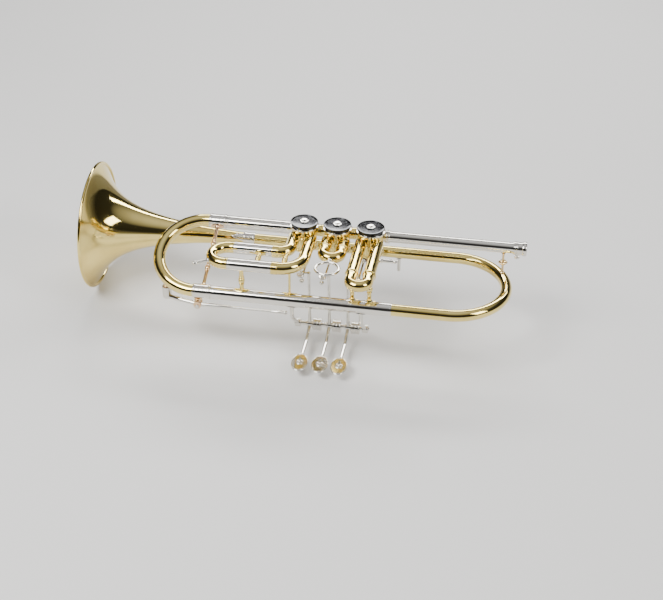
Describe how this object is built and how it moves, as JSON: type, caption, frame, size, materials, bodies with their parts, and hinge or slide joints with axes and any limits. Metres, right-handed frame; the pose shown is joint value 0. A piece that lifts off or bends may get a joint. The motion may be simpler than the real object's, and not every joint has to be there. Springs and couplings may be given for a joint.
{
  "type": "trumpet",
  "caption": "Rotary-valve trumpet with a flared bell, a pull-out main tuning slide with a water key, finger levers that turn the valves and a short slide for each valve.",
  "frame": {"origin": "centre of the mouthpiece receiver's mouth, on the mouthpipe's axis", "axes": "+X along the mouthpipe out of the receiver, towards the player; -X is where the bell opens; +Z along the valve axes towards their caps; -Y towards the slides and finger plates"},
  "size_m": [0.4512, 0.2102, 0.1334],
  "materials": {
    "lacquered_brass": "polished, clear gold lacquer",
    "nickel_silver": "polished nickel silver",
    "red_brass": "polished, pinkish",
    "bearing_bronze": "ground",
    "black_nickel": "dark mirror",
    "cork": "cork, matt"
  },
  "bodies": {
    "horn": {"bearing_plates": "bearing_bronze", "bell": "lacquered_brass", "bell_branch": "lacquered_brass", "bell_ferrule": "nickel_silver", "bell_rim_wire": "lacquered_brass", "bow_brace": "red_brass", "cap_hubs": "nickel_silver", "casing_rings": "nickel_silver", "casings": "lacquered_brass", "first_sleeves": "lacquered_brass", "hooks": "nickel_silver", "lever_shaft": "nickel_silver", "lower_main_sleeve": "nickel_silver", "mouthpiece_receiver": "nickel_silver", "mouthpipe": "nickel_silver", "receiver_screw": "nickel_silver", "second_sleeves": "lacquered_brass", "shaft_brackets": "nickel_silver", "sleeve_collars": "lacquered_brass", "slide_stays": "lacquered_brass", "spring_barrels": "nickel_silver", "stop_corks": "cork", "third_elbows": "lacquered_brass", "third_sleeves": "nickel_silver", "upper_main_sleeve": "nickel_silver", "valve_caps": "black_nickel", "valve_knuckles": "lacquered_brass"},
    "main_slide": {"main_slide_bow": "lacquered_brass", "main_slide_legs": "nickel_silver", "main_slide_ferrules": "nickel_silver", "main_slide_brace": "red_brass", "water_key_seat": "red_brass", "water_key_post": "red_brass", "water_key_pin": "nickel_silver"},
    "water_key": {"water_key_lever": "nickel_silver", "water_key_cork": "cork"},
    "first_slide": {"first_slide_bow": "lacquered_brass", "first_slide_legs": "nickel_silver", "first_slide_knob": "red_brass"},
    "second_slide": {"second_slide_bow": "lacquered_brass", "second_slide_legs": "nickel_silver", "second_slide_ring": "nickel_silver"},
    "third_slide": {"third_slide_bow": "lacquered_brass", "third_slide_legs": "nickel_silver", "third_slide_pin": "nickel_silver"},
    "finger_lever_1": {"lever_1": "nickel_silver", "finger_plate_1": "nickel_silver"},
    "valve_rotor_1": {"rotor_1": "bearing_bronze", "stop_arm_1": "nickel_silver"},
    "valve_link_1": {"link_1": "nickel_silver"},
    "finger_lever_2": {"lever_2": "nickel_silver", "finger_plate_2": "nickel_silver"},
    "valve_rotor_2": {"rotor_2": "bearing_bronze", "stop_arm_2": "nickel_silver"},
    "valve_link_2": {"link_2": "nickel_silver"},
    "finger_lever_3": {"lever_3": "nickel_silver", "finger_plate_3": "nickel_silver"},
    "valve_rotor_3": {"rotor_3": "bearing_bronze", "stop_arm_3": "nickel_silver"},
    "valve_link_3": {"link_3": "nickel_silver"}
  },
  "joints": [
    {"name": "main_slide_pull", "type": "slide", "parent": "horn", "child": "main_slide", "axis": [-1, 0, 0], "range_m": [0, 0.03]},
    {"name": "water_key_hinge", "type": "hinge", "parent": "main_slide", "child": "water_key", "pos_m": [-0.3158, -0.078, -0.0505], "axis": [0, -1, 0], "range_deg": [0, 3.3], "stiffness_Nm_per_rad": 0.3, "springref_deg": -17.19},
    {"name": "first_slide_pull", "type": "slide", "parent": "horn", "child": "first_slide", "axis": [0, -1, 0], "range_m": [0, 0.03]},
    {"name": "second_slide_pull", "type": "slide", "parent": "horn", "child": "second_slide", "axis": [0, -1, 0], "range_m": [0, 0.008]},
    {"name": "third_slide_pull", "type": "slide", "parent": "horn", "child": "third_slide", "axis": [-1, 0, 0], "range_m": [0, 0.03]},
    {"name": "lever_1_press", "type": "hinge", "parent": "horn", "child": "finger_lever_1", "pos_m": [-0.1704, -0.0446, -0.0833], "axis": [-1, 0, 0], "range_deg": [0, 10.8], "stiffness_Nm_per_rad": 0.15, "springref_deg": -20.05},
    {"name": "rotor_1_turn", "type": "hinge", "parent": "horn", "child": "valve_rotor_1", "pos_m": [-0.1545, -0.0084, 0], "axis": [0, 0, -1], "range_deg": [0, 90]},
    {"name": "link_1_swing", "type": "hinge", "parent": "valve_rotor_1", "child": "valve_link_1", "pos_m": [-0.16016, -0.01406, -0.0233], "axis": [0, 0, -1], "range_deg": [-90, 0]},
    {"name": "lever_2_press", "type": "hinge", "parent": "horn", "child": "finger_lever_2", "pos_m": [-0.1894, -0.0446, -0.0833], "axis": [-1, 0, 0], "range_deg": [0, 10.8], "stiffness_Nm_per_rad": 0.15, "springref_deg": -20.05},
    {"name": "rotor_2_turn", "type": "hinge", "parent": "horn", "child": "valve_rotor_2", "pos_m": [-0.188, -0.0084, 0], "axis": [0, 0, -1], "range_deg": [0, 90]},
    {"name": "link_2_swing", "type": "hinge", "parent": "valve_rotor_2", "child": "valve_link_2", "pos_m": [-0.19366, -0.01406, -0.0233], "axis": [0, 0, -1], "range_deg": [-90, 0]},
    {"name": "lever_3_press", "type": "hinge", "parent": "horn", "child": "finger_lever_3", "pos_m": [-0.2094, -0.0446, -0.0833], "axis": [-1, 0, 0], "range_deg": [0, 10.8], "stiffness_Nm_per_rad": 0.15, "springref_deg": -20.05},
    {"name": "rotor_3_turn", "type": "hinge", "parent": "horn", "child": "valve_rotor_3", "pos_m": [-0.2215, -0.0084, 0], "axis": [0, 0, 1], "range_deg": [0, 90]},
    {"name": "link_3_swing", "type": "hinge", "parent": "valve_rotor_3", "child": "valve_link_3", "pos_m": [-0.21584, -0.01406, -0.0233], "axis": [0, 0, 1], "range_deg": [-90, 0]}
  ],
  "couplings": [
    {"joint": "rotor_1_turn", "follows": "lever_1_press", "ratio": 8.3333},
    {"joint": "link_1_swing", "follows": "lever_1_press", "ratio": -8.3333},
    {"joint": "rotor_2_turn", "follows": "lever_2_press", "ratio": 8.3333},
    {"joint": "link_2_swing", "follows": "lever_2_press", "ratio": -8.3333},
    {"joint": "rotor_3_turn", "follows": "lever_3_press", "ratio": 8.3333},
    {"joint": "link_3_swing", "follows": "lever_3_press", "ratio": -8.3333}
  ]
}
